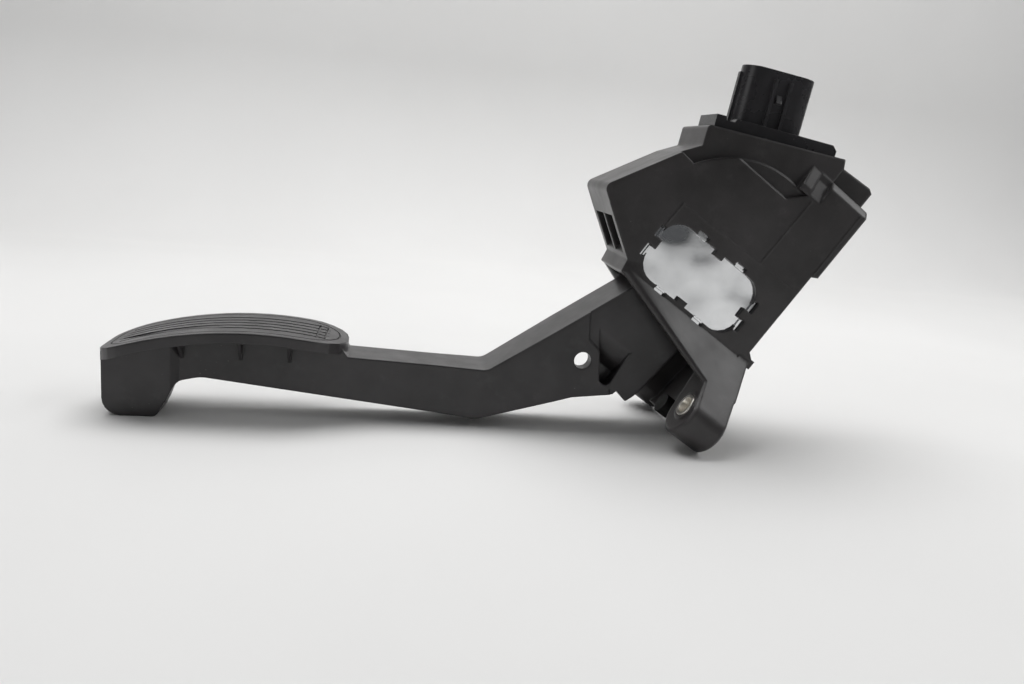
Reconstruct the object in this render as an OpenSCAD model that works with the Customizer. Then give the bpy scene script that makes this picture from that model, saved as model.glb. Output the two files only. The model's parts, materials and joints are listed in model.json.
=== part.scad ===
// Drive-by-wire accelerator pedal: a moulded arm with its pad, hung in a moulded housing.
// X runs along the pedal towards the housing, Y across it and Z up. The part stands on Z = 0.

/* [Stance] */
// Slope of the mounting direction below the horizontal, in degrees
mount_tilt = 33.4; // [28:0.1:38]
// Distance from the pivot to the middle of the pad
pad_reach = 193; // [180:1:210]
// Travel of the pedal from rest to full throttle, in degrees
travel = 16; // [10:1:18]

/* [Pad] */
// How far the pad's middle lies beyond the top of its curve
pad_crown = 10; // [0:0.5:14]
// Length of the pad
pad_l = 97; // [85:1:105]
// Width of the pad
pad_w = 42; // [38:1:48]
// Height of the pad's crown above the ground
pad_h = 37.9; // [36:0.1:42]
// Radius of the pad's lengthwise curve
pad_curve = 160; // [150:5:260]
// Depth of the pad's rim
pad_rim = 4.4; // [3.4:0.1:6]
// Thickness of the pad's top wall
pad_wall = 2.4; // [1.8:0.1:3.2]
// Corner radius at the toe end
pad_toe_r = 13; // [5:0.5:14]
// Corner radius at the arm end
pad_heel_r = 18; // [12:0.5:20]
// Width of the lengthwise tread grooves
groove_w = 0.6; // [0.4:0.1:1.2]
// Depth of the tread grooves
groove_d = 0.6; // [0.3:0.1:1]

/* [Arm] */
// Half width of the arm behind the pad
arm_half = 11; // [9:0.5:13]
// Half width of the arm inside the housing
hub_half = 14; // [13:0.5:14.5]
// Thickness of the arm's closed side
arm_skin = 4; // [3:0.5:6]
// Wall round the arm's cored side
arm_rim = 3; // [2:0.5:4]
// Radius of the hole through the arm
hole_r = 3.7; // [2.5:0.1:4.5]
// Radius of the arm's hub
hub_r = 12.5; // [11:0.5:13]

/* [Housing] */
// Half width over the housing's side plates
side_half = 18; // [17.5:0.5:22]
// How far the near side plate stands out from the crown
side_step = 3.5; // [2:0.5:4]
// Thickness of the side walls
side_wall = 3; // [2.5:0.1:3]
// Radius of the curved ledge about the pivot
ledge_r = 46.5; // [45.5:0.5:48]
// Thickness of the wall under the ledge
ledge_wall = 5; // [4:0.5:5.5]
// Distance from the pivot to the mounting face
mount_u = 36; // [35:0.5:40]
// Thickness of the back wall
back_wall = 6; // [4:0.5:6]
// Length of the side window
window_l = 52; // [48:0.5:54]
// Height of the side window
window_h = 27; // [24:0.5:28]
// Thickness of the bright plate in the window
plate_t = 1.2; // [0.8:0.1:1.6]

/* [Fixing] */
// Radius of the hole in each steel sleeve
bolt_r = 3.5; // [3.2:0.1:3.8]
// Outer radius of the steel sleeves
sleeve_r = 5; // [4.6:0.1:5.6]
// Radius of the lugs' rounded foot
lug_r = 10.5; // [9.5:0.5:12]
// Distance across from the centre line to each bolt
lug_y = 33; // [32:0.5:38]
// Distance from the mounting face to the front of the lugs
lug_l = 17.3; // [14:0.1:22]

/* [Pivot] */
// Radius of the pivot shaft
shaft_r = 4; // [3.5:0.1:4.5]
// Wall of the plain bushes
bush_wall = 1.5; // [1:0.1:2]
// Running clearance between the shaft and its bushes
run_fit = 0.05; // [0.02:0.01:0.09]

/* [Springs] */
// Distance from the pivot to the springs' centre line
spring_n = 24; // [23.5:0.1:25]
// Coil radius of the outer spring, to the middle of its wire
outer_coil_r = 7.9; // [7:0.1:8.2]
// Wire radius of the outer spring
outer_wire_r = 1; // [0.7:0.1:1.1]
// Coil radius of the inner spring, to the middle of its wire
inner_coil_r = 4.9; // [4.2:0.1:5]
// Wire radius of the inner spring
inner_wire_r = 0.8; // [0.5:0.1:0.9]

/* [Connector] */
// Length of the connector shell along the crown
shell_l = 32; // [30:0.5:34]
// Width of the connector shell across the crown
shell_w = 15; // [13:0.5:17]
// Height of the connector shell above its plate
shell_h = 23; // [18:0.5:26]
// Wall of the connector shell
shell_wall = 1.8; // [1.4:0.1:2.4]
// Depth of the socket inside the shell
socket_d = 18; // [14:0.5:19]
// Number of terminals
pins = 6; // [4:1:6]

/* [Hidden] */
$fn = 64;
// Slack between parts that are pressed or clipped together
seat_fit = 0.02;
// Gap between parts that meet without touching
seat_gap = 0.1;
// Clearance between a coil and what keeps it centred
coil_fit = 0.15;

// The housing's own axes: u runs along the mounting direction, v square to it, from the pivot
nose = [-63, -4];
slope_top = [-46, 26];
crown_foot = [-40, 34];
crown_base = [-43.5, 41.9];
crown_rise = 25;
crown_l = 62.3;
crown_dir = [cos(crown_rise), sin(crown_rise)];
crown_tip = crown_base + crown_l * crown_dir;
crown_end = crown_tip + [2.2, -3.4];
rear_v = 57.8;
rear_bevel = 3.1;
base_v = -24;
// Where the open underside starts, and the lip in front of it
cavity_u = -30;
lip_u = -33;
lip_h = 3;
// Depth of the long recess in the housing's back
back_recess = 2.7;
// The nubs that locate the housing on what carries it
nub = 4;
nub_v = -25.6;
foot_v = -56.8;
bolt_v = -54;
lug_mid_y = lug_y - 1;
lug_bevel = 1.2;
plate_foot_v = -65;
// The back wall runs on above the rear as a tongue
tongue_v = 67.2;
tongue_top = 68.5;
tongue_half = 7;
window_c = [-5.5, -8.8];
window_r = 9;
inner_half = side_half - side_wall;
crown_half = side_half - side_step;
inner_u = mount_u - back_wall;
inner_r = ledge_r - ledge_wall;
bush_r = shaft_r + run_fit + bush_wall;
collar_wall = 1.2;

// The pivot's place: the lugs' feet and the pad's toe stand on the ground
pivot_z = (mount_u - lug_bevel) * sin(mount_tilt) + (lug_r - foot_v) * cos(mount_tilt);
pad_x = -pad_reach;
pad_mid = pad_x - pad_crown;
toe_x = pad_mid - pad_l / 2;
pivot_x = -(toe_x + mount_u * cos(mount_tilt) + tongue_v * sin(mount_tilt)) / 2;

// The webs that carry the lugs leave the side plates' lower edges tangent to the lugs, as [-v, y]
web_root = [-base_v, side_half];
lug_mid = [-foot_v, lug_mid_y];
web_turn = atan2(lug_mid.y - web_root.y, lug_mid.x - web_root.x) + asin(lug_r / norm(lug_mid - web_root));
web_reach = 21;
web_r = 1.5;
web_edge = web_root + web_reach * [cos(web_turn), sin(web_turn)] + web_r * [sin(web_turn), -cos(web_turn)];

// Knee of the arm and the slope of its riser
knee = [-95.7, 25.4 - pivot_z];
riser = 34;
// The tab that meets the full-throttle bumper
tab_tip = [-34.6, 14.7 - pivot_z];
tab_heel = [-28.5, 19.6 - pivot_z];
hole_at = [-55.4, 32.3 - pivot_z];

// The springs' own axes: t runs along the coils, n is the distance from the pivot
spring_turn = 110;
spring_t0 = 4;
spring_t1 = 34;
seat_t = 3;
seat_r = 9.4;
lever_half = 9;
shoe_r0 = 36;

// The far side: bush, magnet and sensor, as distances across
far_boss = 1.5;
cup_y = side_half + far_boss + 0.4;
cup_l = 4.1;
recess_y = cup_y + cup_l + 0.6;
board_y = recess_y + 1.2;
lid_y = board_y + 2.2;
sensor_y = lid_y + 1;
cup_r = 9;
recess_r = 12.5;
sensor_r = 17.5;
pocket_r = 14.5;
screw_ring = 21;
screw_r = 1.6;
screw_angles = [35, 205, 325];

// The sensor's plate on the crown, in the crown's own axes
top_s = [4, 59.5];
top_h = 5.4;
top_half = 10;
shell_s = 29;
// The neck that carries the sensor's round body down the far side
neck_s = [20, 40];
latch = [2.6, 1.9, 4.2];
spigot_s = [11, 44];
spigot_half = 7;
spigot_d = 6;
pin_w = 0.64;
pin_pitch = 4;

function unit(p) = p / norm(p);
function turn(p, a) = [p.x * cos(a) - p.y * sin(a), p.x * sin(a) + p.y * cos(a)];
// A point of the pedal's plane, given from the pivot, in the housing's axes
function to_uv(p) = turn(p, mount_tilt);

// Points of the arc that rounds corner b between its neighbours a and c
function fillet(a, b, c, r, n = 5) =
    let (da = unit(a - b), dc = unit(c - b))
    let (half = acos(da * dc) / 2)
    let (mid = b + unit(da + dc) * r / sin(half))
    let (pa = b + da * r / tan(half) - mid, pc = b + dc * r / tan(half) - mid)
    let (start = atan2(pa.y, pa.x), sweep = (atan2(pc.y, pc.x) - start + 540) % 360 - 180)
    [for (i = [0:n]) mid + r * [cos(start + sweep * i / n), sin(start + sweep * i / n)]];

// An outline from corners given as [x, y, radius]
function outline(c) = [
    for (i = [0:len(c) - 1])
    let (a = c[(i + len(c) - 1) % len(c)], b = c[i], d = c[(i + 1) % len(c)])
    each (b.z == 0 ? [[b.x, b.y]] : fillet([a.x, a.y], [b.x, b.y], [d.x, d.y], b.z))
];

module at_pivot() translate([pivot_x, 0, pivot_z]) children();
module tilted() at_pivot() rotate([0, mount_tilt, 0]) children();
// Extrudes an outline of the pedal's plane from y0 to y1
module across(y0, y1) rotate([90, 0, 0]) translate([0, 0, -y1]) linear_extrude(y1 - y0) children();
// Extrudes an outline given as [-v, y] along u
module along_u(u0, u1) rotate([0, 90, 0]) translate([0, 0, u0]) linear_extrude(u1 - u0) children();
// A round bar across the pedal's plane at point p
module pin_across(p, r, y0, y1) translate([p.x, y0, p.y]) rotate([-90, 0, 0]) cylinder(r = r, h = y1 - y0);
module crown_frame() translate([crown_base.x, 0, crown_base.y]) rotate([0, -crown_rise, 0]) children();
module crown_plane() translate(crown_base) rotate(crown_rise) children();
module spring_frame() rotate([0, -spring_turn, 0]) translate([spring_n, 0, 0]) children();
module spring_plane() rotate(90 + spring_turn) mirror([0, 1]) children();
// A straight bar of width w from a to b
module bar(a, b, w) translate(a) rotate(atan2(b.y - a.y, b.x - a.x))
    translate([0, -w / 2]) square([norm(b - a), w]);
module stadium(l, w) {
    square([l - w, w], center = true);
    for (s = [-1, 1]) translate([s * (l - w) / 2, 0]) circle(w / 2);
}
module ring(r0, r1) difference() {
    circle(r1);
    circle(r0);
}

module body_profile() polygon(outline([
    [nose.x, nose.y, 3], [slope_top.x, slope_top.y, 8], [crown_foot.x, crown_foot.y, 0.8],
    [crown_base.x, crown_base.y, 1.5], [crown_tip.x, crown_tip.y, 0.6],
    [crown_end.x, crown_end.y, 0], [crown_end.x, rear_v, 0], [mount_u, rear_v, 0.8],
    [mount_u, 23, 0], [mount_u - back_recess, 21.5, 0],
    [mount_u - back_recess, -19.5, 0], [mount_u, -21.5, 0],
    [mount_u, base_v, 0], [cavity_u, base_v, 0], [cavity_u, base_v - lip_h, 0],
    [lip_u - 2, base_v - lip_h, 0.8], [lip_u - 3, base_v + 2.5, 0], [-54, -10, 2]
]));
// The side plates stop at the curved ledge, so the crown stands back above them
module side_profile() intersection() {
    body_profile();
    union() {
        circle(ledge_r, $fn = 128);
        polygon([[-80, -60], [-80, 60], [slope_top.x, slope_top.y], [-39.6, 25.6], [-30, 18], [-30, -60]]);
        polygon([[0, -60], [0, 40], [clip_u[0], 47], [clip_u[0], rear_v], [60, rear_v], [60, -60]]);
    }
}
module cavity_profile() difference() {
    union() {
        intersection() {
            circle(inner_r, $fn = 128);
            translate([-60, 0]) square([60 + inner_u, 60]);
        }
        polygon([[-59, -3], [-44.5, 22.5], [-36, 20.5], [0, 12], [0, -20], [-34.4, -19], [-52.6, -7.5]]);
        polygon([[-36, -18], [-30, -21.8], [-30, -90], [inner_u, -90], [inner_u, 10], [-30, 10]]);
    }
    spring_plane() translate([spring_t1 + seat_t, spring_n - 11]) square([3, 24]);
}
module window_profile(grow = 0) translate(window_c) {
    l = window_l / 2 + grow;
    h = window_h / 2 + grow;
    r = window_r + grow;
    polygon(outline([[-l, -h, r], [l, -h, r], [l, h, r], [-l, h, r]]));
}
// The four sides of the window, each with its own notch spacing and reach
module window_sides() translate(window_c) {
    for (a = [0, 90, 180, 270]) rotate(a) {
        is_long = a % 180 == 0;
        $notch = is_long ? notch_long : notch_short;
        translate([0, (is_long ? window_h : window_l) / 2]) children();
    }
}
notch_long = 10.8;
notch_short = 4.8;
notch_w = 5.6;
notch_d = 2;
module window_notches(w, d) window_sides() for (s = [-1, 1])
    translate([s * $notch - w / 2, -0.2]) square([w, d + 0.2]);
module window_tabs() window_sides() translate([-2.3, -2.2]) square([4.6, 2.4]);

// A bar along the side plate's lower edge, where the lug and its web spring from
module web_bar(u0) translate([u0, side_half - side_wall, base_v - lip_h])
    cube([mount_u - u0, side_wall, lip_h]);
module lug() {
    lug_u = mount_u - lug_l;
    hull() {
        along_u(lug_u, mount_u) translate(lug_mid) circle(lug_r - lug_bevel, $fn = 48);
        along_u(lug_u + lug_bevel, mount_u - lug_bevel) translate(lug_mid) circle(lug_r, $fn = 48);
        web_bar(lug_u);
    }
    hull() {
        along_u(lug_u, mount_u) translate(web_edge) circle(web_r, $fn = 24);
        web_bar(lip_u);
    }
    translate([lug_u - 0.4, lug_y, bolt_v]) rotate([0, 90, 0]) cylinder(r = sleeve_r + 1.6, h = 2);
}
// The plate between the lugs, as [-v, y]
module foot_outline() polygon([
    [-base_v - 1, -side_half], [lug_mid.x, -lug_mid.y], [-plate_foot_v, -lug_mid.y],
    [-plate_foot_v, lug_mid.y], [lug_mid.x, lug_mid.y], [-base_v - 1, side_half]
]);
module bolt_axes() for (s = [-1, 1]) translate([0, s * lug_y, bolt_v]) rotate([0, 90, 0]) children();
// Shallow cells in the mounting face
module back_cells() for (v0 = [-17, -3, 11, 26, 40]) for (y0 = [-14, -4.2, 5.6])
    translate([mount_u - 4.2, y0, v0]) cube([5, 8.4, v0 == 26 || v0 == 40 ? 12 : 9.6]);
module vents() for (y0 = [-14, 1]) translate([nose.x, y0, -30]) {
    translate([11, 0, 0]) cube([14, 13, 20]);
}
// Two ramps beside the crown and the bevel along the rear's top edge, cut from the near side plate
clip_u = [3.4, 8.8, 15];
clip_v = [48.6, 46.5];
module near_bevels() {
    out = -side_half - 1;
    translate([0, 0, clip_v[0]]) linear_extrude(20) polygon([
        [clip_u[0] - 1, out], [clip_u[1], out], [clip_u[1], -crown_half - 1.8], [clip_u[0] - 1, -crown_half]
    ]);
    translate([0, 0, clip_v[1]]) linear_extrude(20) polygon([
        [clip_u[1], out], [clip_u[2], out], [clip_u[2], -side_half], [clip_u[1], -crown_half - 0.3]
    ]);
    along_u(clip_u[1], mount_u + 1)
        polygon([[-rear_v - 1, out], [rear_bevel - rear_v, out], [rear_bevel - rear_v, -side_half],
            [-rear_v, rear_bevel - side_half], [-rear_v - 1, rear_bevel - side_half]]);
}
// The three-cornered recess under the ledge
module web_recess() across(-side_half - 1, -side_half + 2) intersection() {
    ring(0.1, ledge_r + 1);
    polygon([[-25.2, 39.2], [1.6, 39.2], [8.9, 46.3], [4, 52], [-25, 52]]);
}
// Fine witness ridges left by the mould's inserts
module witness_lines() across(-side_half - 0.15, -side_half + 0.5) {
    bar([-32, 10.6], [33, 12.6], 0.4);
    bar([-32, 10.8], [-32.4, -2.2], 0.4);
    bar([11.5, 45.5], [11, 12], 0.4);
    bar([33.2, 54.2], [33.4, 22.5], 0.4);
}

module housing() color("#2b2a2a") tilted() {
    difference() {
        union() {
            across(-crown_half, side_half) body_profile();
            across(-side_half, side_half) side_profile();
            along_u(inner_u, mount_u) foot_outline();
            across(-tongue_half, tongue_half) polygon(outline([
                [8, 50, 0], [mount_u, 50, 0], [mount_u, tongue_v, 0],
                [mount_u - 2.4, tongue_top, 0.8], [17, tongue_top - 1.4, 0], [8, 60, 0]
            ]));
            lug();
            mirror([0, 1, 0]) lug();
            pin_across([0, 0], 9, side_half - 1, side_half + far_boss);
            for (s = [-1, 1]) translate([mount_u - 1, s * (side_half - nub / 2) - nub / 2, nub_v]) cube([3, nub, nub]);
        }
        difference() {
            across(-inner_half, inner_half) cavity_profile();
            pin_across([0, 0], 9, inner_half - 1, side_half);
        }
        difference() {
            across(-side_half - 1, -inner_half + 1) union() {
                window_profile();
                window_notches(notch_w, notch_d);
            }
            across(-side_half - 1, -inner_half - plate_t - seat_fit) window_tabs();
        }
        across(-inner_half - plate_t - seat_fit, -inner_half + 1) window_profile(3.2);
        pin_across([0, 0], bush_r + seat_fit, inner_half - 2, side_half + far_boss + 1);
        translate([mount_u - lug_l - 2, 0, 0]) bolt_axes() cylinder(r = sleeve_r + seat_fit, h = lug_l + 4);
        for (a = screw_angles)
            pin_across(screw_ring * [cos(a), sin(a)], screw_r + seat_fit, inner_half - 1, side_half + 1);
        crown_frame() translate([spigot_s[0] - seat_gap, -spigot_half - seat_gap, -spigot_d - seat_gap])
            cube([spigot_s[1] - spigot_s[0] + 2 * seat_gap, 2 * spigot_half + 2 * seat_gap, spigot_d + 5]);
        vents();
        near_bevels();
        web_recess();
        back_cells();
    }
    witness_lines();
}

module side_plate() color("#c9cdd1") tilted() {
    across(-inner_half - plate_t, -inner_half) window_profile(3);
    across(-inner_half - plate_t - 1, -inner_half - plate_t) window_notches(notch_w - 0.6, 0.7);
    difference() {
        pin_across([0, 0], bush_r + seat_fit + collar_wall, -inner_half - 0.2, -inner_half + 3.8);
        pin_across([0, 0], bush_r + seat_fit, -inner_half, -inner_half + 4);
    }
}
module bolt_sleeves() color("#d4d2cc") tilted() translate([mount_u - lug_l - 0.9, 0, 0]) bolt_axes()
    linear_extrude(lug_l + 0.9) ring(bolt_r, sleeve_r);
module bush(y0, y1) difference() {
    pin_across([0, 0], bush_r, y0, y1);
    pin_across([0, 0], shaft_r + run_fit, y0 - 1, y1 + 1);
}
module near_bush() color("#8d6f3c") tilted() bush(-inner_half + seat_gap, -inner_half + 3.8);
module far_bush() color("#8d6f3c") tilted() bush(inner_half, side_half + far_boss);

// The peg and the collar that keep the two coils centred on a seat
module coil_guides() translate([0, 0, -0.1]) {
    cylinder(r = inner_coil_r - inner_wire_r - 2 * coil_fit, h = 3.1);
    linear_extrude(2.1) ring(inner_coil_r + inner_wire_r + coil_fit, outer_coil_r - outer_wire_r - coil_fit);
}
module front_seat() color("#3a3b3d") tilted() spring_frame() translate([0, 0, spring_t1]) {
    cylinder(r = seat_r, h = seat_t);
    mirror([0, 0, 1]) coil_guides();
}

// A coil spring along Z: closed end turns and an open middle
function coil_z(f, turns, len, wire) =
    let (shut = 1 / turns, low = wire, step = 2.1 * wire)
    f < shut ? low + step * f / shut
    : f > 1 - shut ? len - low - step * (1 - f) / shut
    : low + step + (len - 2 * low - 2 * step) * (f - shut) / (1 - 2 * shut);
module coil(r, wire, len, turns, sides = 8, per_turn = 18) {
    rows = turns * per_turn;
    points = [
        for (i = [0:rows]) for (k = [0:sides - 1])
        let (a = 360 * i / per_turn, b = 360 * k / sides, rad = r + wire * cos(b))
        [rad * cos(a), rad * sin(a), coil_z(i / rows, turns, len, wire) + wire * sin(b)]
    ];
    sides_faces = [
        for (i = [0:rows - 1]) for (k = [0:sides - 1])
        let (a = i * sides + k, b = i * sides + (k + 1) % sides)
        each [[a, a + sides, b], [b, a + sides, b + sides]]
    ];
    cap0 = [for (k = [0:sides - 1]) k];
    cap1 = [for (k = [sides - 1:-1:0]) rows * sides + k];
    polyhedron(points, concat(sides_faces, [cap0, cap1]));
}
module spring_place() tilted() spring_frame() translate([0, 0, spring_t0]) children();
spring_l = spring_t1 - spring_t0;
module outer_spring() color("#9a9da1") spring_place() coil(outer_coil_r, outer_wire_r, spring_l, 6);
module inner_spring() color("#8b8e92") spring_place() coil(inner_coil_r, inner_wire_r, spring_l, 8, 6, 16);

// The arm's top face, as a line in the housing's axes
riser_dir = turn([cos(riser), sin(riser)], mount_tilt);
function riser_u(v) = to_uv(knee).x + (v - to_uv(knee).y) * riser_dir.x / riser_dir.y;
bumper_gap = seat_gap / riser_dir.y;
module idle_bumper() color("#1c1c1d") tilted() across(-9, 9) polygon([
    [-30, -26.6], [riser_u(-26.6) - bumper_gap, -26.6], [riser_u(-22.4) - bumper_gap, -22.4], [-30, -22.4]
]);
// Where the tab's heel arrives at full throttle
stop_at = to_uv(turn(tab_heel, travel));
module full_bumper() color("#1c1c1d") tilted() translate([stop_at.x + seat_gap, 0, stop_at.y - 3])
    rotate([0, 90, 0]) cylinder(r = 4.6, h = inner_u - stop_at.x - seat_gap);

module sensor_outline() {
    circle(sensor_r);
    polygon([[-15, 6], for (s = neck_s) crown_base + turn([s, top_h], crown_rise), [15, 6]]);
    for (a = screw_angles) screw_ear(a);
}
// A screw ear tangent to the round body
module screw_ear(a) rotate(a) {
    translate([screw_ring, 0]) circle(4.6);
    translate([0, -4.6]) square([screw_ring, 9.2]);
}
module pin_spots() for (i = [0:pins - 1])
    translate([shell_s + (i - (pins - 1) / 2) * pin_pitch, 0, 0]) children();
module pin_bar(w, h0, h1) translate([-w / 2, -w / 2, h0]) cube([w, w, h1 - h0]);
module sensor_body() color("#171718") tilted() difference() {
    union() {
        across(side_half, sensor_y) difference() {
            sensor_outline();
            for (a = screw_angles) rotate(a) translate([screw_ring, 0]) circle(screw_r + 0.2);
        }
        crown_frame() {
            translate([0, top_half, 0]) rotate([90, 0, 0]) linear_extrude(2 * top_half) polygon([
                [top_s[0], 0], [top_s[0], top_h], [top_s[0] + 4, top_h], [top_s[0] + 4.6, top_h - 1.6],
                [shell_s - shell_l / 2 - 0.6, top_h - 1.6], [shell_s - shell_l / 2, top_h],
                [top_s[1] - 2, top_h - 0.6], [top_s[1], top_h - 2.6], [top_s[1], 0]]);
            translate([neck_s[0], top_half - 1, 0])
                cube([neck_s[1] - neck_s[0], side_half - top_half + 3, top_h]);
            translate([spigot_s[0], -spigot_half, -spigot_d])
                cube([spigot_s[1] - spigot_s[0], 2 * spigot_half, spigot_d + 1]);
            translate([shell_s, 0, top_h - 1]) linear_extrude(shell_h + 1) stadium(shell_l, shell_w);
            for (s = [-1, 1]) translate([shell_s + 3.4 * s - 0.7, -shell_w / 2 - 1.6, top_h - 1])
                cube([1.4, 2.6, shell_h - 2.6]);
            translate([shell_s - latch.x / 2, -shell_w / 2 + 0.4, top_h + shell_h - 13]) rotate([90, 0, 90])
                linear_extrude(latch.x) polygon([[0, 0], [-latch.y - 0.4, 0], [0, latch.z]]);
            translate([shell_s - shell_l / 2 - 0.9, -1.2, top_h - 1]) cube([2, 2.4, shell_h - 2]);
        }
    }
    pin_across([0, 0], recess_r, side_half - 1, recess_y);
    pin_across([0, 0], pocket_r, board_y, sensor_y + 1);
    across(side_half - 1, side_half + 1.4) ring(recess_r + 1.3, recess_r + 3.1);
    crown_frame() {
        translate([shell_s, 0, top_h + shell_h - socket_d])
            linear_extrude(socket_d + 1) stadium(shell_l - 2 * shell_wall, shell_w - 2 * shell_wall);
        pin_spots() pin_bar(pin_w + 2 * seat_fit, -spigot_d - 1, top_h + shell_h - socket_d + 1);
    }
    for (a = screw_angles) pin_across(screw_ring * [cos(a), sin(a)], 3.4, sensor_y - 4, sensor_y + 1);
}
module sensor_lid() color("#1f1f20") tilted() pin_across([0, 0], pocket_r - seat_gap, lid_y, sensor_y);
module circuit_board() color("#2f6b3c") tilted() pin_across([0, 0], pocket_r - 0.5, board_y, board_y + 1);
module hall_chips() color("#101011") tilted() for (s = [-1, 1])
    translate([s * 3.4 - 2, board_y + 1, -2.5]) cube([4, 1, 5]);
module terminals() color("#c8b26a") tilted() crown_frame() pin_spots()
    pin_bar(pin_w, -spigot_d + 1, top_h + shell_h - socket_d + 8);
module sensor_seal() color("#3d2b24") tilted() rotate([-90, 0, 0]) translate([0, 0, side_half + 0.7])
    rotate_extrude() translate([recess_r + 2.2, 0]) circle(0.68, $fn = 24);
module sensor_screws() color("#a7a9ac") tilted() for (a = screw_angles) {
    p = screw_ring * [cos(a), sin(a)];
    pin_across(p, screw_r, inner_half + 0.4, sensor_y - 4);
    difference() {
        pin_across(p, 3.2, sensor_y - 4, sensor_y - 1.6);
        translate([p.x, sensor_y - 2.8, p.y]) rotate([-90, 0, 0]) cylinder(r = 1.7, h = 2, $fn = 6);
    }
}

// Outlines of the pedal are drawn with heights above the ground and lowered to the pivot
function up(c) = [for (p = c) [p.x, p.y - pivot_z, p.z]];
function flat(c) = [for (p = c) [p.x, p.y - pivot_z]];
// Height of the pad's top above the ground, dx along from its crown
function pad_z(dx) = pad_h - pad_curve + sqrt(pad_curve * pad_curve - dx * dx);
curve_at = [pad_x, pad_h - pad_curve - pivot_z];
toe_top = pad_z(toe_x - pad_x);
module arm_profile() {
    polygon(outline(up([
        for (dx = [toe_x - pad_x + 6, -30, -12, 12, 26]) [pad_x + dx, pad_z(dx) - 1.2, 0],
        [pad_x + 35.5, pad_z(35.5) - 1.5, 0], [pad_x + 38.8, 27.9, 0], [knee.x, knee.y + pivot_z, 7],
        [-7, knee.y + pivot_z + (-7 - knee.x) * tan(riser), 0],
        [10, pivot_z - 7, 0], [tab_heel.x, tab_heel.y + pivot_z, 1], [-31.7, 16.8, 0.8],
        [tab_tip.x, tab_tip.y + pivot_z, 1], [-38.9, 19.4, 0], [-40.4, 17.8, 0], [-58.6, 15.8, 10],
        [knee.x - 3.5, 3.6, 12], [pad_x - 19.8, 16.6, 14], [pad_x - 29, 14.4, 5], [pad_x - 33, 6, 0]
    ])));
    circle(hub_r);
}
module heel_profile() polygon(outline(up([
    [toe_x + 1.4, toe_top - 0.6, 0], [toe_x + 1.4, 0, 7], [pad_x - 36.4, 0, 2.6], [pad_x - 33.2, 6, 4],
    [pad_x - 28, 17, 0], [pad_x - 28, 30, 0]
])));
// Half widths along the arm: the heel block, the waist and the hub
arm_side = [[toe_x - 1, hub_half], [pad_x - 31, hub_half], [pad_x - 28, arm_half], [knee.x - 22, arm_half],
    [knee.x + 30, hub_half], [20, hub_half]];
module arm_plan() polygon([
    for (s = [-1, 1]) each [for (p = s < 0 ? arm_side : [for (i = [5:-1:0]) arm_side[i]]) [p.x, s * p.y]]
]);
// The plan of the pad, drawn in by d all round
module pad_plan(d = 0) {
    l = pad_l / 2 - d;
    w = pad_w / 2 - d;
    toe_r = pad_toe_r - d / 2;
    heel_r = pad_heel_r - d / 2;
    translate([pad_mid, 0])
        polygon(outline([[-l, -w, toe_r], [l, -w, heel_r], [l, w, heel_r], [-l, w, toe_r]]));
}
// The curved layer of the pad between two depths below its top
module pad_layer(d0, d1) across(-pad_w, pad_w) intersection() {
    difference() {
        translate(curve_at) circle(pad_curve - d0, $fn = 256);
        translate(curve_at) circle(pad_curve - d1, $fn = 256);
    }
    translate([pad_mid - pad_l, -pivot_z]) square([2 * pad_l, 60]);
}
module upright() translate([0, 0, -pivot_z]) linear_extrude(80) children();
module pad() {
    intersection() {
        pad_layer(0, pad_wall);
        upright() pad_plan();
    }
    intersection() {
        union() {
            pad_layer(pad_wall - 0.2, pad_rim);
            across(-pad_w, pad_w) polygon(flat([[toe_x, toe_top - 5.4], [toe_x, toe_top - 0.8],
                [toe_x + 14, toe_top + 3], [toe_x + 14, toe_top + 0.2], [toe_x + 4, toe_top - 2.2]]));
        }
        upright() difference() {
            pad_plan();
            pad_plan(2);
        }
    }
}
// Tread: a border that follows the pad's edge, and lengthwise grooves inside it
groove_pitch = 5.2;
module tread_plan() {
    difference() {
        pad_plan(3.4);
        pad_plan(3.4 + groove_w);
    }
    intersection() {
        pad_plan(6);
        translate([pad_mid, 0]) {
            for (i = [-2:2]) translate([-pad_l / 2, i * groove_pitch - groove_w / 2])
                square([pad_l - 8, groove_w]);
            for (x = [9.6, 13]) translate([pad_l / 2 - x, -pad_w]) square([groove_w, 2 * pad_w]);
        }
    }
}
module gussets() for (dx = [-27, -4, 15.5]) for (s = [-1, 1])
    translate([pad_x + dx - 0.7, 0, 0]) rotate([90, 0, 90]) linear_extrude(1.4) polygon(flat([
        [s * (arm_half - 1), 23], [s * (arm_half - 1), pad_z(dx) - 1], [s * (pad_w / 2 - 3), pad_z(dx) - 1],
        [s * (pad_w / 2 - 4), pad_z(dx) - pad_rim]]));
// Cells that core the arm from its far side, with bracing ribs left between them
module arm_cells() {
    cells_x = [pad_x - 13, knee.x - 5.3];
    step = (cells_x[1] - cells_x[0]) / 5;
    difference() {
        polygon(flat([
            [cells_x[0], 30], [pad_x + 33, 28], [cells_x[1], 22.4], [cells_x[1], 8.4], [cells_x[0], 20.2]
        ]));
        for (i = [0:4]) {
            top = [cells_x[0] + 2 + (i + 0.5) * step, 31 - pivot_z - i * 1.6];
            low = 18 - pivot_z - i * 2.2;
            bar([top.x - step / 2, low], top, 2);
            bar(top, [top.x + step / 2, low - 2], 2);
        }
    }
    near = knee.x + 0.7;
    far = knee.x + 29.7;
    difference() {
        polygon(flat([[near, 21], [far, 40.6], [far, 18.4], [near, 9.8]]));
        translate(hole_at) circle(hole_r + 3);
        bar([near, 10 - pivot_z], [far, 38 - pivot_z], 2);
        bar([near + 11, 30 - pivot_z], [far - 4, 17 - pivot_z], 2);
    }
}
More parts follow.
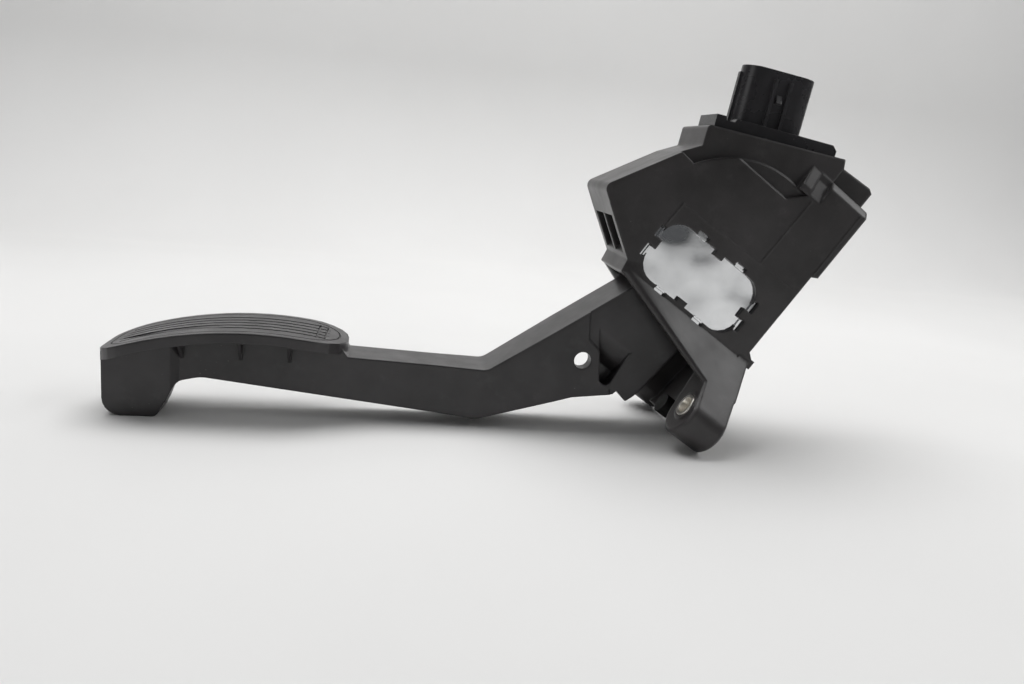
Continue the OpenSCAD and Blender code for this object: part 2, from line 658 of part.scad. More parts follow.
// The pocket in front of the hub, with the ramp that rises out of it
module slot_profile() polygon(outline(up([
    [-48.8, 38.5, 1], [-47.4, 22, 2.4], [-41.6, 20.6, 2], [-41, 24.5, 0], [-35.4, 32.6, 1], [-38.4, 36.4, 1]
])));
module slot_ramp() translate([0, 0, 34 - pivot_z]) linear_extrude(13)
    polygon([[-49.2, -hub_half - 1], [-49.2, -hub_half + 6], [-36, -hub_half + 0.6], [-36, -hub_half - 1]]);
module step_profile() polygon(flat([
    [-54.2, 56], [-53.4, 41.5], [-48, 36.6], [-47.2, 30], [-38, 10], [20, 10], [20, 96], [-30, 96]
]));
module lever_profile() intersection() {
    union() {
        spring_plane()
            polygon([[spring_t0 - 2, 6], [spring_t0 - 2, spring_n + 7], [-4, 44], [-18, 44], [-17, 8]]);
        circle(hub_r - 1);
    }
    circle(shoe_r0, $fn = 128);
}
module pedal_arm() color("#2d2c2c") {
    at_pivot() difference() {
        union() {
            intersection() {
                union() {
                    across(-hub_half, hub_half) arm_profile();
                    across(-hub_half, hub_half) heel_profile();
                }
                upright() arm_plan();
            }
            pad();
            gussets();
            rotate([0, mount_tilt, 0]) across(-lever_half, lever_half) lever_profile();
        }
        intersection() {
            pad_layer(-1, groove_d);
            upright() tread_plan();
        }
        across(-7, hub_half + 1) arm_cells();
        pin_across(hole_at, hole_r, -hub_half - 1, hub_half + 1);
        across(-hub_half - 1, -hub_half + 8) slot_profile();
        slot_ramp();
        across(-hub_half - 1, -hub_half + 0.8) step_profile();
        pin_across([0, 0], shaft_r + seat_fit, -hub_half - 1, hub_half + 1);
        pin_across([0, 0], bush_r + collar_wall + 0.8, -hub_half - 1, -inner_half + 4.2);
        pin_across([0, 0], 8, hub_half - 1.2, hub_half + 1);
    }
}
// The shaft steps down where it enters the magnet's cup
spigot_step = 1.5;
module pivot_shaft() color("#b9bcc0") at_pivot() {
    difference() {
        pin_across([0, 0], shaft_r, -inner_half + 0.4, cup_y);
        across(hub_half - 1.1, hub_half - 0.3) ring(shaft_r - 0.6, shaft_r + 2);
    }
    pin_across([0, 0], shaft_r - spigot_step, cup_y - 1, cup_y + 1.5);
}
module shaft_clip() color("#54565a") at_pivot() across(hub_half - 1.05, hub_half - 0.35) difference() {
    ring(shaft_r - 0.58, shaft_r + 2.4);
    polygon([[0, 0], [9, -5], [9, 5]]);
}
module spring_saddle() color("#d8d4c8") tilted() spring_frame() {
    translate([0, 0, spring_t0 - 2]) cylinder(r = seat_r, h = 2);
    translate([0, 0, spring_t0]) coil_guides();
    for (s = [0, 1]) mirror([0, s, 0]) translate([-5, lever_half + seat_gap, spring_t0 - 6])
        cube([10, 1.4, 5]);
}
module friction_shoe() color("#5a4636") tilted() across(-lever_half, lever_half) intersection() {
    ring(shoe_r0 + seat_fit, inner_r - 0.2, $fn = 128);
    polygon([[0, 0], 60 * [cos(86), sin(86)], 60 * [cos(109), sin(109)]]);
}
magnet_r = cup_r - 1.4;
magnet_y = cup_y + 1.6;
module magnet_cup() color("#9da0a4") at_pivot() difference() {
    pin_across([0, 0], cup_r, cup_y, cup_y + cup_l);
    pin_across([0, 0], magnet_r, magnet_y, cup_y + cup_l + 1);
    pin_across([0, 0], shaft_r - spigot_step + seat_fit, cup_y - 1, cup_y + 2);
}
module magnet() color("#3c3d40") at_pivot()
    pin_across([0, 0], magnet_r - seat_fit, magnet_y, cup_y + cup_l - 0.2);

housing();
side_plate();
bolt_sleeves();
near_bush();
far_bush();
front_seat();
outer_spring();
inner_spring();
idle_bumper();
full_bumper();
sensor_body();
sensor_lid();
circuit_board();
hall_chips();
terminals();
sensor_seal();
sensor_screws();
pedal_arm();
pivot_shaft();
spring_saddle();
friction_shoe();
magnet_cup();
magnet();
shaft_clip();
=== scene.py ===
"""Looks of a moulded accelerator pedal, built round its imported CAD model. Lengths are in metres."""

import json
import math

import bmesh
import bpy
from mathutils import Matrix, Vector


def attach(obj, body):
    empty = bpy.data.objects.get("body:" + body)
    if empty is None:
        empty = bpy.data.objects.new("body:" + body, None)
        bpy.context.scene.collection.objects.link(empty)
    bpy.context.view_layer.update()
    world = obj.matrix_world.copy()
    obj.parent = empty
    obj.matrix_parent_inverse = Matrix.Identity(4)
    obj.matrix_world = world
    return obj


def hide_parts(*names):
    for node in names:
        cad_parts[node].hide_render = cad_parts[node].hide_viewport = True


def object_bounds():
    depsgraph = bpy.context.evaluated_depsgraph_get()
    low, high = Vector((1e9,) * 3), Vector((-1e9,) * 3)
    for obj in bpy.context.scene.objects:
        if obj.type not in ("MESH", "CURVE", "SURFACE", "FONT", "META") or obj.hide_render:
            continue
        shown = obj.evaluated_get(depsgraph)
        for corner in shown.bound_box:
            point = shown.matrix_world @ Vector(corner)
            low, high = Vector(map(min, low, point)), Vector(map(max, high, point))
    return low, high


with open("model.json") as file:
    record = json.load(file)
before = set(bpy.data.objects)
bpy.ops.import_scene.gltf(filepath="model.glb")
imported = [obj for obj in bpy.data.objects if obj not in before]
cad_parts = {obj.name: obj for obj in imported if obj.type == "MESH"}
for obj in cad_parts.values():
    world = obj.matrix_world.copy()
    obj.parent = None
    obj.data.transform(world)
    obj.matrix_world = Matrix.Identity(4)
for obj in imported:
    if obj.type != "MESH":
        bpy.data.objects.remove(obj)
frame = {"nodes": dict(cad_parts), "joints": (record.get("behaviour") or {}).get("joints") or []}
CAD_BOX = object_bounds()
NODES = frame["nodes"]
PIVOT = Vector(frame["joints"][0]["pos_m"])
HOUSING = "housing_body"
PEDAL = "pedal_body"
WELD = 1e-6


# Camera, at the photograph's place

PHOTO_W = 1024
FOCAL_PX = 852
SENSOR = 36.0
CLIP_START = 0.01
CAMERA_AT = PIVOT + Vector((-0.1394, -0.3596, 0.0403))
YAW = math.radians(8.7)
PITCH = math.radians(12.4)
ROLL = math.radians(4.95)


def add_camera():
    """A camera that is turned by YAW, looks down by PITCH and leans by ROLL."""
    forward = Vector((
        math.sin(YAW) * math.cos(PITCH),
        math.cos(YAW) * math.cos(PITCH),
        -math.sin(PITCH),
    ))
    level = Vector((math.cos(YAW), -math.sin(YAW), 0))
    square = level.cross(forward)
    right = level * math.cos(ROLL) + square * math.sin(ROLL)
    up = square * math.cos(ROLL) - level * math.sin(ROLL)
    data = bpy.data.cameras.new("camera")
    data.sensor_width = SENSOR
    data.lens = FOCAL_PX / PHOTO_W * SENSOR
    data.clip_start = CLIP_START
    camera = bpy.data.objects.new("camera", data)
    camera.matrix_world = Matrix((
        (right.x, up.x, -forward.x, CAMERA_AT.x),
        (right.y, up.y, -forward.y, CAMERA_AT.y),
        (right.z, up.z, -forward.z, CAMERA_AT.z),
        (0, 0, 0, 1),
    ))
    bpy.context.scene.collection.objects.link(camera)
    bpy.context.scene.camera = camera


# The housing's own axes: u runs along the mounting direction and v square to it

MOUNT_TILT = math.radians(33.4)
U_AXIS = Vector((math.cos(MOUNT_TILT), 0, -math.sin(MOUNT_TILT)))
V_AXIS = Vector((math.sin(MOUNT_TILT), 0, math.cos(MOUNT_TILT)))


# Edge radii. Small rigid pieces have a bevel, and the shader rounds the edges of every moulding.

EDGE = 0.0003
PLATE_EDGE = 0.0002
SENSOR_EDGE = 0.0005
MOULD_EDGE = 0.0012
CROWN_EDGE = 0.0017
TREAD_EDGE = 0.00012
CROWN_FROM = PIVOT.dot(V_AXIS) + 0.026
CROWN_BLEND = 0.006
EDGE_SAMPLES = 6


# Materials: each is a small node tree in the object's own coordinates

class Tree:
    """A material's node tree, with short ways to add and join nodes."""

    def __init__(self, name):
        self.material = bpy.data.materials.new(name)
        self.material.use_nodes = True
        self.nodes = self.material.node_tree.nodes
        self.links = self.material.node_tree.links
        self.shader = self.nodes["Principled BSDF"]
        self.coords = self.nodes.new("ShaderNodeTexCoord").outputs["Object"]

    def stretched(self, scale):
        """The object's coordinates, stretched along each axis."""
        mapping = self.nodes.new("ShaderNodeMapping")
        mapping.inputs["Scale"].default_value = scale
        self.links.new(self.coords, mapping.inputs["Vector"])
        return mapping.outputs["Vector"]

    def noise(self, scale, detail=3.0, rough=0.5, vector=None):
        """Soft noise from 0 to 1. Its scale is in turns a metre."""
        noise = self.nodes.new("ShaderNodeTexNoise")
        noise.inputs["Scale"].default_value = scale
        noise.inputs["Detail"].default_value = detail
        noise.inputs["Roughness"].default_value = rough
        self.links.new(vector or self.coords, noise.inputs["Vector"])
        return noise.outputs["Fac"]

    def cells(self, scale):
        """Distance to the nearest of many scattered points."""
        cells = self.nodes.new("ShaderNodeTexVoronoi")
        cells.inputs["Scale"].default_value = scale
        self.links.new(self.coords, cells.inputs["Vector"])
        return cells.outputs["Distance"]

    def ramp(self, value, stops):
        """Colours or greys by place on a scale from 0 to 1."""
        ramp = self.nodes.new("ShaderNodeValToRGB")
        elements = ramp.color_ramp.elements
        while len(elements) < len(stops):
            elements.new(0.5)
        for element, (place, colour) in zip(elements, stops):
            element.position = place
            grey = isinstance(colour, (int, float))
            element.color = (colour, colour, colour, 1) if grey else (*colour, 1)
        self.links.new(value, ramp.inputs["Fac"])
        return ramp.outputs["Color"]

    def mix(self, factor, a, b):
        """Blends two colours, each a socket or three numbers."""
        mix = self.nodes.new("ShaderNodeMix")
        mix.data_type = "RGBA"
        self.links.new(factor, mix.inputs["Factor"])
        for key, value in (("A", a), ("B", b)):
            socket = [s for s in mix.inputs if s.name == key and s.type == "RGBA"][0]
            if isinstance(value, tuple):
                socket.default_value = (*value, 1)
            else:
                self.links.new(value, socket)
        return [s for s in mix.outputs if s.type == "RGBA"][0]

    def bump(self, height, distance, strength, onto=None):
        """Normals of a relief, which may lie on other normals."""
        bump = self.nodes.new("ShaderNodeBump")
        bump.inputs["Distance"].default_value = distance
        bump.inputs["Strength"].default_value = strength
        self.links.new(height, bump.inputs["Height"])
        if onto:
            self.links.new(onto, bump.inputs["Normal"])
        return bump.outputs["Normal"]

    def rounded(self, radius, crown_radius=None):
        """Normals that round the piece's edges to a radius, and to another one near the crown."""
        bevel = self.nodes.new("ShaderNodeBevel")
        bevel.samples = EDGE_SAMPLES
        bevel.inputs["Radius"].default_value = radius
        if crown_radius:
            height = self.nodes.new("ShaderNodeVectorMath")
            height.operation = "DOT_PRODUCT"
            height.inputs[1].default_value = V_AXIS
            self.links.new(self.coords, height.inputs[0])
            blend = self.nodes.new("ShaderNodeMapRange")
            blend.inputs["From Min"].default_value = CROWN_FROM
            blend.inputs["From Max"].default_value = CROWN_FROM + CROWN_BLEND
            blend.inputs["To Min"].default_value = radius
            blend.inputs["To Max"].default_value = crown_radius
            self.links.new(height.outputs["Value"], blend.inputs["Value"])
            self.links.new(blend.outputs["Result"], bevel.inputs["Radius"])
        return bevel.outputs["Normal"]

    def set(self, **values):
        """Sets or joins the shader's sockets. Underscores stand for spaces."""
        for key, value in values.items():
            socket = self.shader.inputs[key.replace("_", " ")]
            if isinstance(value, bpy.types.NodeSocket):
                self.links.new(value, socket)
            elif isinstance(value, tuple):
                socket.default_value = (*value, 1)
            else:
                socket.default_value = value
        return self.material


# Patterns on the mouldings: scales in turns a metre, depths in metres

TONE_SCALE = 38
DUST_SCALE = 95
DUST_GAIN = 2.1
DUST_LIFT = 0.02
SPECK_SCALE = 330
SPECK_PATCH_SCALE = 48
SPECK_COLOUR = (0.16, 0.15, 0.145)
GLOSS_SCALE = 55
GRAIN_SCALE = 2600
GRAIN_DEPTH = 0.00004
FINE_GRAIN_DEPTH = 0.00003
WAVE_SCALE = 70
WAVE_DEPTH = 0.0006
SPECULAR = 0.55


def moulded(name, dark, light, rough, grain_depth=GRAIN_DEPTH, dust=0.25, edge=EDGE, crown_edge=None):
    """Moulded plastic: uneven tone, fine grain, rounded edges and a little dust in patches."""
    t = Tree(name)
    tone = t.ramp(t.noise(TONE_SCALE, 5, 0.6), [(0.35, dark), (0.7, light)])
    patches = t.ramp(t.noise(DUST_SCALE, 6, 0.68), [(0.56, 0.0), (0.8, dust)])
    dusty = tuple(min(1.0, c * DUST_GAIN + DUST_LIFT) for c in light)
    clouded = t.mix(patches, tone, dusty)
    dots = t.ramp(t.cells(SPECK_SCALE), [(0.045, 1.0), (0.08, 0.0)])
    specks = t.mix(dots, clouded, SPECK_COLOUR)
    spotted = t.mix(t.ramp(t.noise(SPECK_PATCH_SCALE), [(0.55, 0.0), (0.66, 0.8)]), clouded, specks)
    gloss = t.ramp(t.noise(GLOSS_SCALE, 4, 0.6), [(0.3, rough - 0.06), (0.75, rough + 0.1)])
    fine = t.bump(t.noise(GRAIN_SCALE, 2, 0.5), grain_depth, 0.35, onto=t.rounded(edge, crown_edge))
    wavy = t.bump(t.noise(WAVE_SCALE, 2, 0.5), WAVE_DEPTH, 0.12, onto=fine)
    return t.set(Base_Color=spotted, Roughness=gloss, Normal=wavy, Specular_IOR_Level=SPECULAR)


STREAK_DEPTH = 0.00003


def metal(name, dark, light, rough, stretch, scale=160):
    """Worked metal: streaks along one way, in tone, gloss and height."""
    t = Tree(name)
    streaks = t.noise(scale, 4, 0.6, t.stretched(stretch))
    tone = t.ramp(streaks, [(0.3, dark), (0.7, light)])
    gloss = t.ramp(t.noise(scale / 2, 4, 0.6), [(0.3, rough - 0.05), (0.75, rough + 0.1)])
    return t.set(Base_Color=tone, Metallic=1.0, Roughness=gloss, Normal=t.bump(streaks, STREAK_DEPTH, 0.5))


BLOOM_SCALE = 130
RUBBER_GRAIN_SCALE = 1500
RUBBER_GRAIN_DEPTH = 0.00005


def soft(name, dark, light, rough):
    """Rubber: dull, with a faint bloom."""
    t = Tree(name)
    tone = t.ramp(t.noise(BLOOM_SCALE, 5, 0.65), [(0.35, dark), (0.75, light)])
    gloss = t.ramp(t.noise(210, 3, 0.5), [(0.3, rough), (0.75, min(1.0, rough + 0.15))])
    grain = t.bump(t.noise(RUBBER_GRAIN_SCALE, 2, 0.5), RUBBER_GRAIN_DEPTH, 0.4)
    return t.set(Base_Color=tone, Roughness=gloss, Normal=grain)


RIPPLE_SCALE = 42
RIPPLE_DEPTH = 0.0024
PEEL_SCALE = 900
PEEL_DEPTH = 0.00003


def bright_plate():
    """Bright pressed plate: nearly a mirror, with slow ripples that bend what it shows."""
    t = Tree("bright_plate")
    ripples = t.bump(t.noise(RIPPLE_SCALE, 1.0, 0.4), RIPPLE_DEPTH, 0.9)
    orange_peel = t.bump(t.noise(PEEL_SCALE, 2, 0.5), PEEL_DEPTH, 0.3, onto=ripples)
    tone = t.ramp(t.noise(85, 4, 0.6), [(0.35, (0.74, 0.75, 0.76)), (0.7, (0.86, 0.87, 0.88))])
    gloss = t.ramp(t.noise(130, 4, 0.6), [(0.35, 0.05), (0.75, 0.16)])
    return t.set(Base_Color=tone, Metallic=1.0, Roughness=gloss, Normal=orange_peel)


TRACK_SCALE = 700
TRACK_DEPTH = 0.00003


def circuit():
    """Green board with a faint pattern of tracks under its mask."""
    t = Tree("circuit")
    tracks = t.ramp(t.noise(TRACK_SCALE, 1, 0.3, t.stretched((4, 1, 1))), [(0.47, 0.0), (0.53, 1.0)])
    tone = t.mix(tracks, (0.012, 0.10, 0.035), (0.03, 0.20, 0.07))
    return t.set(Base_Color=tone, Roughness=0.3, Normal=t.bump(tracks, TRACK_DEPTH, 0.4))


ARM_DARK = (0.019, 0.0175, 0.018)
ARM_LIGHT = (0.037, 0.0335, 0.0355)
ARM_ROUGH = 0.34
EVEN = (1, 1, 1)

BLACK = moulded("black_moulding", (0.023, 0.0208, 0.0208), (0.043, 0.0392, 0.040), 0.36, edge=MOULD_EDGE,
                crown_edge=CROWN_EDGE)
PAD_BLACK = moulded("arm_moulding", ARM_DARK, ARM_LIGHT, ARM_ROUGH, FINE_GRAIN_DEPTH, edge=MOULD_EDGE)
TREAD_BLACK = moulded("tread_moulding", ARM_DARK, ARM_LIGHT, ARM_ROUGH, FINE_GRAIN_DEPTH, edge=TREAD_EDGE)
GLOSS_BLACK = moulded("sensor_moulding", (0.018, 0.017, 0.0185), (0.033, 0.0315, 0.0345), 0.24,
                      dust=0.12, edge=SENSOR_EDGE)
LID_BLACK = moulded("lid_moulding", (0.024, 0.024, 0.026), (0.04, 0.04, 0.044), 0.46)
SEAT_BLACK = moulded("seat_moulding", (0.03, 0.03, 0.032), (0.045, 0.045, 0.048), 0.5)
NATURAL = moulded("natural_moulding", (0.52, 0.49, 0.42), (0.64, 0.61, 0.54), 0.42, dust=0.1)
CHIP = moulded("chip_moulding", (0.010, 0.010, 0.011), (0.016, 0.016, 0.018), 0.55)
LINING = moulded("shoe_lining", (0.10, 0.065, 0.04), (0.18, 0.12, 0.08), 0.6)
BONDED = moulded("bonded_magnet", (0.035, 0.035, 0.038), (0.06, 0.06, 0.065), 0.5)
PLATE = bright_plate()
SLEEVE = metal("turned_sleeve", (0.78, 0.74, 0.67), (0.95, 0.92, 0.86), 0.28, (10, 1, 10))
SHAFT = metal("ground_shaft", (0.48, 0.49, 0.51), (0.64, 0.65, 0.67), 0.22, (12, 1, 12))
WIRE = metal("spring_wire", (0.26, 0.265, 0.28), (0.42, 0.43, 0.45), 0.34, EVEN, 260)
SCREW = metal("plated_screw", (0.46, 0.47, 0.48), (0.62, 0.63, 0.64), 0.26, (1, 6, 1))
CLIP = metal("blackened_clip", (0.05, 0.052, 0.056), (0.11, 0.113, 0.12), 0.4, EVEN)
BUSH = metal("sintered_bush", (0.30, 0.20, 0.085), (0.46, 0.33, 0.15), 0.42, EVEN, 900)
PIN = metal("tinned_pin", (0.52, 0.42, 0.20), (0.72, 0.61, 0.34), 0.24, (1, 1, 8))
RUBBER = soft("stop_rubber", (0.010, 0.010, 0.010), (0.02, 0.02, 0.02), 0.72)
SEAL = soft("seal_rubber", (0.05, 0.018, 0.013), (0.085, 0.032, 0.024), 0.6)
BOARD = circuit()

FINISHES = {
    "housing": BLACK,
    "side_plate": PLATE,
    "bolt_sleeves": SLEEVE,
    "near_bush": BUSH,
    "far_bush": BUSH,
    "front_seat": SEAT_BLACK,
    "outer_spring": WIRE,
    "inner_spring": WIRE,
    "idle_bumper": RUBBER,
    "full_bumper": RUBBER,
    "sensor_body": GLOSS_BLACK,
    "sensor_lid": LID_BLACK,
    "circuit_board": BOARD,
    "hall_chips": CHIP,
    "terminals": PIN,
    "sensor_seal": SEAL,
    "sensor_screws": SCREW,
    "pedal_arm": PAD_BLACK,
    "pivot_shaft": SHAFT,
    "spring_saddle": NATURAL,
    "friction_shoe": LINING,
    "magnet_cup": SHAFT,
    "magnet": BONDED,
    "shaft_clip": CLIP,
}


# Bevels on the small rigid pieces

NO_BEVEL = ("outer_spring", "inner_spring", "terminals", "sensor_seal", "shaft_clip", "housing", "pedal_arm",
            "sensor_body")
BEVEL_ANGLE = math.radians(28)
BEVEL_STEPS = 2


def round_edges(obj, radius):
    """Welds a node's mesh and bevels its edges."""
    weld = obj.modifiers.new("weld", "WELD")
    weld.merge_threshold = WELD
    bevel = obj.modifiers.new("bevel", "BEVEL")
    bevel.limit_method = "ANGLE"
    bevel.angle_limit = BEVEL_ANGLE
    bevel.width = radius
    bevel.segments = BEVEL_STEPS
    bevel.use_clamp_overlap = False
    bevel.harden_normals = True


def finish_nodes():
    """Gives each CAD node its material, and its bevels where it has them."""
    for name, obj in NODES.items():
        obj.data.materials.clear()
        obj.data.materials.append(FINISHES[name])
        if name not in NO_BEVEL:
            round_edges(obj, PLATE_EDGE if name == "side_plate" else EDGE)


# Tools that recut copies of CAD nodes. Their sizes are in mm.

MM = 0.001
PROUD = 1
SLIVER = 3e-6
SHARP_ANGLE = math.radians(19)
LARGEST_FACE_ONLY = 100


def solid(ring, sweep):
    """A closed solid: a ring of points swept along a vector."""
    count = len(ring)
    faces = [tuple(range(count)), tuple(range(2 * count - 1, count - 1, -1))]
    faces += [(i, i + count, (i + 1) % count + count, (i + 1) % count) for i in range(count)]
    mesh = bpy.data.meshes.new("tool")
    mesh.from_pydata([*ring, *(p + sweep for p in ring)], [], faces)
    shape = bmesh.new()
    shape.from_mesh(mesh)
    bmesh.ops.recalc_face_normals(shape, faces=shape.faces)
    shape.to_mesh(mesh)
    shape.free()
    tool = bpy.data.objects.new("tool", mesh)
    bpy.context.scene.collection.objects.link(tool)
    return tool


def across(outline, y0, y1):
    """A solid across the pedal. Its outline is given as x from the pivot and height above the ground."""
    ring = [Vector((PIVOT.x + x * MM, y0 * MM, z * MM)) for x, z in outline]
    return solid(ring, Vector((0, (y1 - y0) * MM, 0)))


def along_u(outline, u0, u1):
    """A solid along the mounting direction. Its outline is given as v and y from the pivot."""
    ring = [PIVOT + (U_AXIS * u0 + V_AXIS * v) * MM + Vector((0, y * MM, 0)) for v, y in outline]
    return solid(ring, U_AXIS * (u1 - u0) * MM)


def upright(outline, z0, z1):
    """A solid that stands upright. Its outline is given as x from the pivot and y."""
    ring = [Vector((PIVOT.x + x * MM, y * MM, z0 * MM)) for x, y in outline]
    return solid(ring, Vector((0, 0, (z1 - z0) * MM)))


def disc(x, z, radius, steps=40):
    """The outline of a circle."""
    turns = [2 * math.pi * i / steps for i in range(steps)]
    return [(x + radius * math.cos(a), z + radius * math.sin(a)) for a in turns]


def arc_band(centre, inner, outer, x0, x1, steps=24):
    """The outline of a curved band between two radii, from x0 to x1."""
    xs = [x0 + (x1 - x0) * i / steps for i in range(steps + 1)]
    rims = [[(x, centre[1] + math.sqrt(r * r - (x - centre[0]) ** 2)) for x in xs] for r in (inner, outer)]
    return rims[0] + rims[1][::-1]


def carve(piece, tool, how="DIFFERENCE"):
    """Changes a piece by a tool, takes the tool away and drops the slivers that the cut leaves."""
    change = piece.modifiers.new("carve", "BOOLEAN")
    change.operation = how
    change.solver = "EXACT"
    change.object = tool
    bpy.context.view_layer.update()
    changed = piece.evaluated_get(bpy.context.evaluated_depsgraph_get())
    piece.data = bpy.data.meshes.new_from_object(changed)
    piece.modifiers.clear()
    bpy.data.objects.remove(tool)
    shape = bmesh.new()
    shape.from_mesh(piece.data)
    bmesh.ops.dissolve_degenerate(shape, edges=shape.edges, dist=SLIVER)
    shape.to_mesh(piece.data)
    shape.free()


def surface_of(node, body):
    """A closed copy of a CAD node, shown in its place."""
    shape = bmesh.new()
    shape.from_mesh(NODES[node].data)
    bmesh.ops.remove_doubles(shape, verts=shape.verts, dist=WELD)
    points = [v.co[:] for v in shape.verts]
    faces = [[v.index for v in face.verts] for face in shape.faces]
    shape.free()
    mesh = bpy.data.meshes.new(node + "_surface")
    mesh.from_pydata(points, [], faces)
    piece = bpy.data.objects.new(node + "_surface", mesh)
    piece.matrix_world = NODES[node].matrix_world
    bpy.context.scene.collection.objects.link(piece)
    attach(piece, body)
    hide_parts(node)
    return piece


def shade(piece, material):
    """Gives a recut piece its material and smooths it, with flat faces kept flat."""
    piece.data.materials.clear()
    piece.data.materials.append(material)
    piece.data.shade_smooth()
    piece.data.set_sharp_from_angle(angle=SHARP_ANGLE)
    normals = piece.modifiers.new("normals", "WEIGHTED_NORMAL")
    normals.mode = "FACE_AREA"
    normals.weight = LARGEST_FACE_ONLY
    normals.keep_sharp = True


# The arm's cuts. Outlines are x from the pivot and height above the ground unless another is named.

HALF_ARM = 14
NEAR_FACE = -HALF_ARM
STEP_DEPTH = 0.81
STEP = [(-54.2, 56), (-53.4, 41.5), (-48, 36.6), (-47.2, 30), (-38, 10), (20, 10), (20, 96), (-30, 96)]
PLAIN_POCKET = [(-50.5, 48.5), (-50.5, 19.8), (-41.2, 19.8), (-34, 31.5), (-34, 48.5)]
PLAIN_POCKET_DEPTH = 8.5
POCKET = [(-49.1, 47.4), (-48.3, 36), (-47.3, 24.6), (-46.9, 23.3), (-45.4, 22.2), (-43.8, 21.9),
          (-42.4, 22.4), (-41.5, 23.6), (-35.4, 35.8), (-33.4, 36.8)]
POCKET_DEPTH = 9
POCKET_U = (-60, 20)
# The slope of the pocket's floor: v from the pivot and depth below the near face
POCKET_FLOOR = [(-50.6, -PROUD), (-50.6, STEP_DEPTH), (-52.4, 1.4), (-54.6, 2.3), (-57, 3.5), (-59, 4.8),
                (-61, 6.4), (-63, 8.4), (-80, 9.5), (-80, -PROUD)]
HOLE_AT = (-55.4, 32.3)
HOLE_R = 5.7
HOLE_DEPTHS = (6.5, HALF_ARM)
HOLE_CELL = [(-63, 21), (-63, 42), (-47, 50), (-42, 44), (-42, 21)]
HOLE_CELL_FROM = -3
HEEL_BACK = -219
HEEL_BACK_NEAR = -220
HEEL_BACK_FAR = -236
HEEL_TOP = 13
PAD_CURVE_AT = (-193, -122.1)
PAD_CURVE_R = 160
GROOVES = 5
GROOVE_PITCH = 5.2
GROOVE_HALF = 0.7
GROOVE_DEPTH = 0.65
GROOVE_X = (-244, -163.5)
TREAD_X = (-248, -157.5)
TREAD_HALF = 17.8
TREAD_Z = 26


def slope_pocket(arm):
    """Fills the plain pocket in front of the hub, recuts the step and cuts a pocket with a sloped floor."""
    carve(arm, across(PLAIN_POCKET, NEAR_FACE, NEAR_FACE + PLAIN_POCKET_DEPTH), "UNION")
    carve(arm, across(STEP, NEAR_FACE - PROUD, NEAR_FACE + STEP_DEPTH))
    pocket = across(POCKET, NEAR_FACE - PROUD, NEAR_FACE + POCKET_DEPTH)
    floor = [(v, NEAR_FACE + depth) for v, depth in POCKET_FLOOR]
    carve(pocket, along_u(floor, *POCKET_U), "INTERSECT")
    carve(arm, pocket)


def open_hole(arm):
    """Opens the round hole into the cell behind it, and the cell to the far side."""
    near, far = (NEAR_FACE + depth for depth in HOLE_DEPTHS)
    carve(arm, across(disc(*HOLE_AT, HOLE_R), near, far))
    carve(arm, across(HOLE_CELL, HOLE_CELL_FROM, HALF_ARM + PROUD))


def narrow_heel(arm):
    """Cuts the heel block's back away towards its far side."""
    near = NEAR_FACE - PROUD
    far = HALF_ARM + PROUD
    wedge = [(HEEL_BACK, near), (HEEL_BACK, far), (HEEL_BACK_FAR, far), (HEEL_BACK_NEAR, near)]
    carve(arm, upright(wedge, -PROUD, HEEL_TOP))


def widen_grooves(arm):
    """Recuts the tread's long grooves, wider than before."""
    band = arc_band(PAD_CURVE_AT, PAD_CURVE_R - GROOVE_DEPTH, PAD_CURVE_R + PROUD, *GROOVE_X)
    for i in range(-(GROOVES // 2), GROOVES // 2 + 1):
        carve(arm, across(band, GROOVE_PITCH * i - GROOVE_HALF, GROOVE_PITCH * i + GROOVE_HALF))


def refine_arm():
    """Shows the pedal arm as a recut copy. Its tread has finer edges than the rest."""
    arm = surface_of("pedal_arm", PEDAL)
    slope_pocket(arm)
    open_hole(arm)
    narrow_heel(arm)
    widen_grooves(arm)
    shade(arm, PAD_BLACK)
    arm.data.materials.append(TREAD_BLACK)
    for face in arm.data.polygons:
        x, y, z = (face.center - Vector((PIVOT.x, 0, 0))) / MM
        if TREAD_X[0] < x < TREAD_X[1] and abs(y) < TREAD_HALF and z > TREAD_Z:
            face.material_index = 1


# The housing's two ramps beside the crown. Outlines are v and y from the pivot.

SIDE = -18
OUTSIDE = SIDE - PROUD
CROWN_SIDE = -14.5
CORNER_TOP = 57.8
ABOVE = 59
CORNER = [(46, SIDE), (CORNER_TOP, SIDE), (CORNER_TOP, -14), (46, -14)]
CORNER_U = (3.4, 14.98)
NOSE_RAMP = [(ABOVE, OUTSIDE), (48.6, OUTSIDE), (48.6, SIDE), (CORNER_TOP, CROWN_SIDE), (ABOVE, CROWN_SIDE)]
NOSE_RAMP_U = (2.4, 8.8)
REAR_RAMP = [(ABOVE, OUTSIDE), (46.5, OUTSIDE), (46.5, SIDE), (55, -14.9), (ABOVE, -14.9)]
REAR_RAMP_U = (8.7, 15)


def refine_housing():
    """Shows the housing as a recut copy, with ramps that face up in place of two clipped corners."""
    housing = surface_of("housing", HOUSING)
    carve(housing, along_u(CORNER, *CORNER_U), "UNION")
    carve(housing, along_u(NOSE_RAMP, *NOSE_RAMP_U))
    carve(housing, along_u(REAR_RAMP, *REAR_RAMP_U))
    shade(housing, BLACK)


# Floor, backdrop and light

FLOOR_HALF = 3.0
FLOOR_GAP = 0.0002
FLOOR_DARK = (0.68, 0.677, 0.67)
FLOOR_LIGHT = (0.72, 0.717, 0.71)
FLOOR_ROUGH = 0.7
WALL_Y = 0.75
WALL_TOP = 1.6
SWEEP_R = 0.22
SWEEP_STEPS = 24


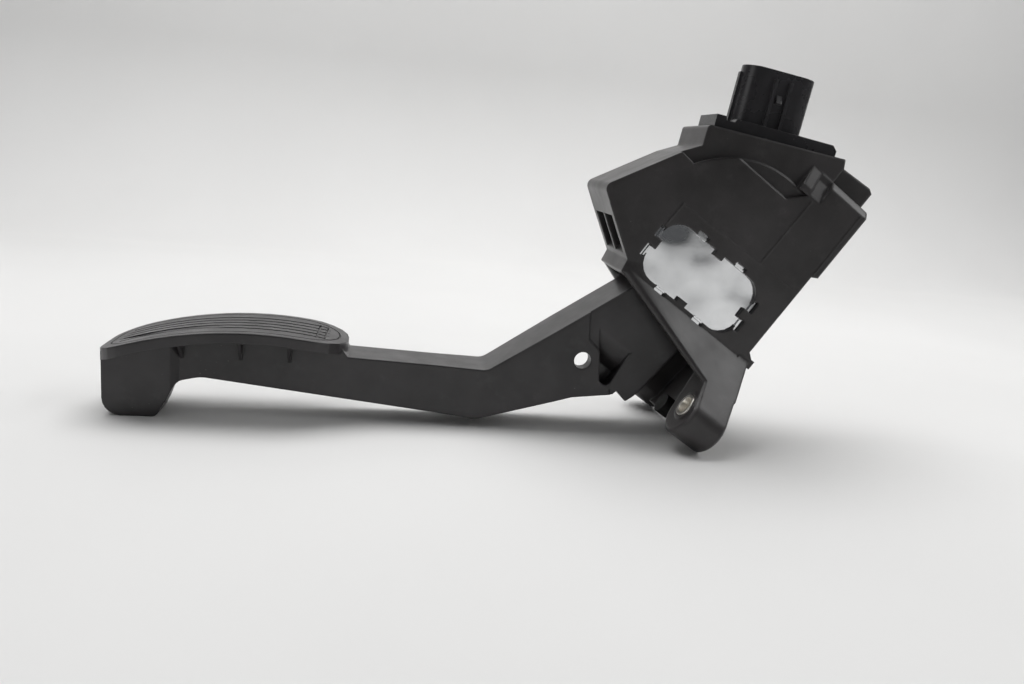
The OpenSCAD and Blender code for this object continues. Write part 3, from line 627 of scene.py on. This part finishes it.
def pale_floor():
    """A floor that sweeps up into a backdrop behind the object."""
    t = Tree("pale_floor")
    tone = t.ramp(t.noise(3.0, 4, 0.5), [(0.3, FLOOR_DARK), (0.7, FLOOR_LIGHT)])
    t.set(Base_Color=tone, Roughness=FLOOR_ROUGH)
    profile = [(-FLOOR_HALF, 0)]
    for i in range(SWEEP_STEPS + 1):
        a = math.pi / 2 * i / SWEEP_STEPS
        profile.append((WALL_Y - SWEEP_R + SWEEP_R * math.sin(a), SWEEP_R - SWEEP_R * math.cos(a)))
    profile.append((WALL_Y, WALL_TOP))
    points = [(x, y, z) for y, z in profile for x in (-FLOOR_HALF, FLOOR_HALF)]
    faces = [(i, i + 1, i + 3, i + 2) for i in range(0, len(points) - 2, 2)]
    mesh = bpy.data.meshes.new("floor")
    mesh.from_pydata(points, [], faces)
    mesh.shade_smooth()
    mesh.materials.append(t.material)
    floor = bpy.data.objects.new("floor", mesh)
    floor.location.z = CAD_BOX[0].z - FLOOR_GAP
    bpy.context.scene.collection.objects.link(floor)


WORLD_COLOUR = (0.90, 0.92, 0.95, 1)
WORLD_STRENGTH = 0.10
LIT_POINT = Vector((0, 0, 0.05))
# Each softbox's place, its size in metres and its power in watts
SOFTBOXES = {
    "top_softbox": ((-0.1, 0.3, 1.1), (1.4, 0.7), 14.5),
    "left_softbox": ((-1.1, -0.5, 0.7), (0.7, 0.7), 1.4),
    "right_softbox": ((0.95, -0.15, 0.72), (0.9, 0.6), 4.6),
}


def add_light():
    """Soft lamps that face the object, in a dim room."""
    world = bpy.data.worlds.new("studio")
    world.use_nodes = True
    background = world.node_tree.nodes["Background"]
    background.inputs["Color"].default_value = WORLD_COLOUR
    background.inputs["Strength"].default_value = WORLD_STRENGTH
    bpy.context.scene.world = world
    for name, (place, size, power) in SOFTBOXES.items():
        data = bpy.data.lights.new(name, "AREA")
        data.shape = "RECTANGLE"
        data.size, data.size_y = size
        data.energy = power
        light = bpy.data.objects.new(name, data)
        light.location = place
        light.rotation_euler = (LIT_POINT - Vector(place)).to_track_quat("-Z", "Y").to_euler()
        bpy.context.scene.collection.objects.link(light)


add_camera()
finish_nodes()
refine_arm()
refine_housing()
pale_floor()
add_light()
bpy.context.scene.view_settings.view_transform = "Standard"
